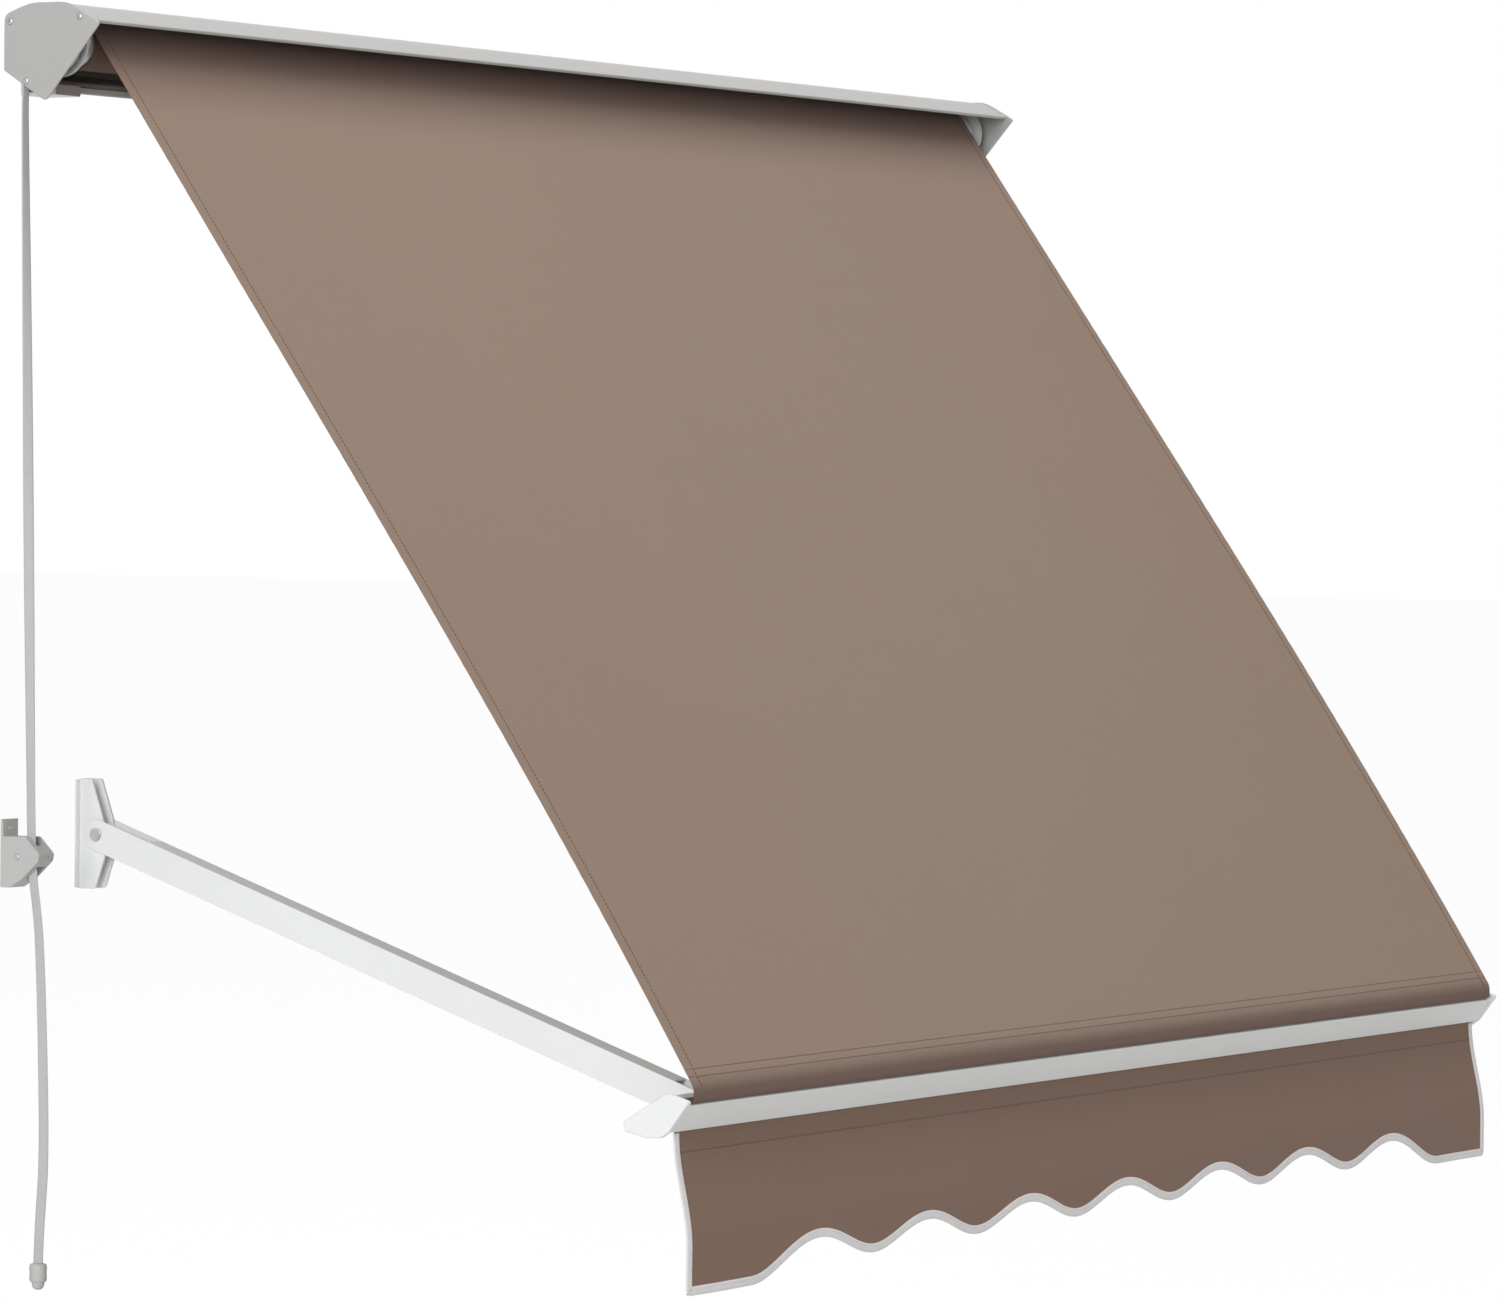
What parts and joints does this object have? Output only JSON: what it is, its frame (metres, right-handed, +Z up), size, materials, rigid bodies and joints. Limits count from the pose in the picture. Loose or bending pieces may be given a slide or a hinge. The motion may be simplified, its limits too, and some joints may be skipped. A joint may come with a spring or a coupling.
{
  "type": "drop-arm window awning",
  "caption": "Window awning with a strap-wound roller in a slim cassette, a sloping cloth canopy on drop arms, and a scalloped valance under the front rail.",
  "frame": {"origin": "on the wall plane, at the middle of the back face of the middle wall clip", "axes": "+X along the awning's width, +Y out of the clips' back into the wall, +Z up; the canopy reaches out toward -Y"},
  "size_m": [1.8022, 0.7613, 1.2333],
  "materials": {
    "white_paint": "satin white powder coat on aluminium and steel",
    "white_plastic": "moulded white plastic, fine grain",
    "bare_aluminium": "drawn and cast aluminium",
    "zinc_steel": "zinc-plated steel",
    "taupe_cloth": "woven acrylic awning cloth, grey-brown",
    "valance_cloth": "the same cloth hanging in its own shade",
    "pale_tape": "woven white edge tape, stitched on",
    "grey_webbing": "ribbed light grey webbing"
  },
  "bodies": {
    "cassette": {"hood_profile": "white_paint", "left_arm_bracket": "white_paint", "left_end_plate": "white_paint", "left_plate_screw_1": "zinc_steel", "left_plate_screw_2": "zinc_steel", "left_plate_screw_3": "zinc_steel", "left_roller_pin": "zinc_steel", "left_wall_clip": "bare_aluminium", "left_wall_pin": "zinc_steel", "middle_wall_clip": "bare_aluminium", "right_arm_bracket": "white_paint", "right_end_plate": "white_paint", "right_plate_screw_1": "zinc_steel", "right_plate_screw_2": "zinc_steel", "right_plate_screw_3": "zinc_steel", "right_roller_pin": "zinc_steel", "right_wall_clip": "bare_aluminium", "right_wall_pin": "zinc_steel", "strap": "grey_webbing", "strap_end_bead": "white_plastic", "strap_lock_body": "white_plastic", "strap_lock_cam_pin": "zinc_steel", "strap_lock_rivet": "zinc_steel"},
    "left_arm_body": {"left_arm": "white_paint"},
    "right_arm_body": {"right_arm": "white_paint"},
    "rail": {"front_rail": "white_paint", "canopy_hem_rod": "white_plastic", "left_rail_cap": "white_plastic", "right_rail_cap": "white_plastic", "left_rail_lug": "bare_aluminium", "right_rail_lug": "bare_aluminium", "left_front_pin": "zinc_steel", "right_front_pin": "zinc_steel"},
    "hanging_cloth": {"valance": "valance_cloth", "valance_binding": "pale_tape", "valance_hem_rod": "white_plastic"},
    "roller": {"roller_tube": "bare_aluminium", "left_roller_plug": "white_plastic", "right_roller_plug": "white_plastic", "strap_spool": "white_plastic", "strap_coil": "grey_webbing", "fabric_roll": "taupe_cloth"},
    "canopy_cloth": {"canopy": "taupe_cloth"},
    "lock_cam": {"strap_lock_cam": "bare_aluminium"}
  },
  "joints": [
    {"name": "arm_swing", "type": "hinge", "parent": "cassette", "child": "left_arm_body", "pos_m": [-0.76, -0.0234, -0.7597], "axis": [-1, 0, 0], "range_deg": [0, 104.5]},
    {"name": "right_arm_swing", "type": "hinge", "parent": "cassette", "child": "right_arm_body", "pos_m": [0.76, -0.0234, -0.7597], "axis": [-1, 0, 0], "range_deg": [0, 104.5]},
    {"name": "rail_turn", "type": "hinge", "parent": "left_arm_body", "child": "rail", "pos_m": [0, -0.70659, -0.98697], "axis": [-1, 0, 0], "range_deg": [-75, 0]},
    {"name": "valance_swing", "type": "hinge", "parent": "rail", "child": "hanging_cloth", "pos_m": [0, -0.73749, -0.99697], "axis": [-1, 0, 0], "range_deg": [-30.5, 0]},
    {"name": "roller_turn", "type": "hinge", "parent": "cassette", "child": "roller", "pos_m": [0, -0.05, 0.003], "axis": [-1, 0, 0], "range_deg": [0, 2545]},
    {"name": "canopy_swing", "type": "hinge", "parent": "cassette", "child": "canopy_cloth", "pos_m": [0, -0.05, 0.003], "axis": [-1, 0, 0], "range_deg": [0, 45.5], "deforming": ["canopy"]},
    {"name": "cam_turn", "type": "hinge", "parent": "cassette", "child": "lock_cam", "pos_m": [-0.878, -0.0316, -0.777], "axis": [0, -1, 0], "range_deg": [0, 50], "stiffness_Nm_per_rad": 0.02, "springref_deg": -17.19}
  ],
  "couplings": [
    {"joint": "right_arm_swing", "follows": "arm_swing", "ratio": 1},
    {"joint": "rail_turn", "follows": "arm_swing", "ratio": -0.71292},
    {"joint": "valance_swing", "follows": "arm_swing", "ratio": -0.28708},
    {"joint": "roller_turn", "follows": "arm_swing", "ratio": 24.3},
    {"joint": "canopy_swing", "follows": "arm_swing", "ratio": 0.43}
  ]
}
